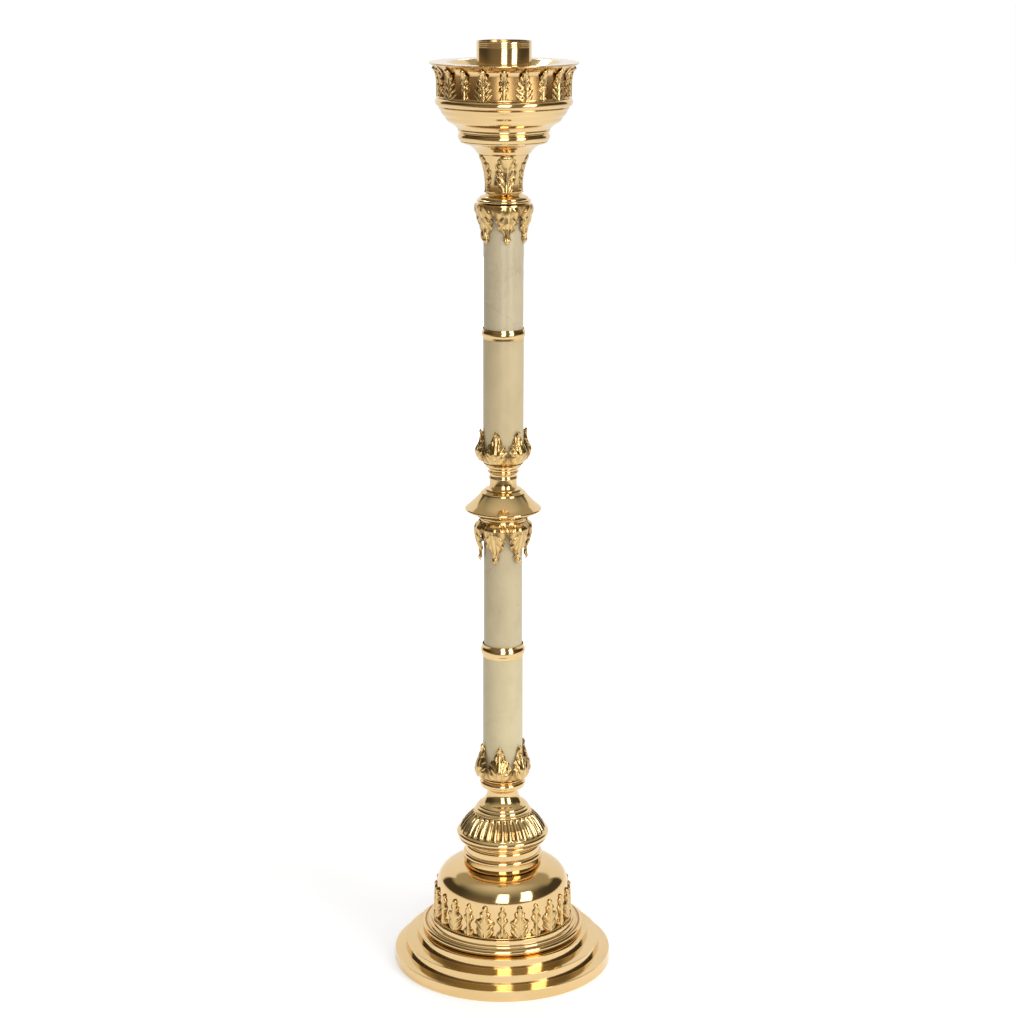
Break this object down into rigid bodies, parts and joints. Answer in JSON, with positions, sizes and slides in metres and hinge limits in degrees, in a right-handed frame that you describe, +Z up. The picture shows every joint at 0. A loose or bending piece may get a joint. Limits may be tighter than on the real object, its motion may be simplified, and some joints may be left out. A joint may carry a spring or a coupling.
{
  "type": "paschal candlestick",
  "caption": "Tall turned brass and marble floor stand on a stepped round foot, with a leafed bowl, a lift-off drip pan and a socket for one large candle.",
  "frame": {"origin": "middle of the foot's underside, on the floor", "axes": "+Z up along the column, -Y towards the picture's camera, +X to the picture's right"},
  "size_m": [0.2662, 0.2662, 1.118],
  "materials": {
    "polished_brass": "polished",
    "cast_brass": "satin",
    "cream_marble": "polished",
    "plain_steel": "satin"
  },
  "bodies": {
    "stand": {"foot": "polished_brass", "foot_moulding": "polished_brass", "drum": "polished_brass", "drum_leaf_band": "cast_brass", "drum_neck": "polished_brass", "gadrooned_knop": "polished_brass", "knop_collar": "polished_brass", "lower_calyx": "cast_brass", "marble_1": "cream_marble", "marble_2": "cream_marble", "marble_3": "cream_marble", "marble_4": "cream_marble", "lower_ring": "polished_brass", "lower_capital": "cast_brass", "mid_saucer": "polished_brass", "mid_neck": "polished_brass", "upper_calyx": "cast_brass", "upper_ring": "polished_brass", "upper_capital": "cast_brass", "vase_neck": "polished_brass", "vase_calyx": "cast_brass", "bowl": "polished_brass", "bowl_leaf_band": "cast_brass", "clamp_plate": "plain_steel", "base_washer": "plain_steel", "base_nut": "plain_steel", "top_washer": "plain_steel", "top_nut": "plain_steel", "tie_rod": "plain_steel"},
    "drip_pan": {"drip_pan": "polished_brass"},
    "candle_socket": {"candle_socket": "polished_brass"}
  },
  "joints": [
    {"name": "drip_pan_lift", "type": "slide", "parent": "stand", "child": "drip_pan", "axis": [0, 0, 1], "range_m": [0, 0.05]},
    {"name": "candle_socket_lift", "type": "slide", "parent": "drip_pan", "child": "candle_socket", "axis": [0, 0, 1], "range_m": [0, 0.05]}
  ]
}
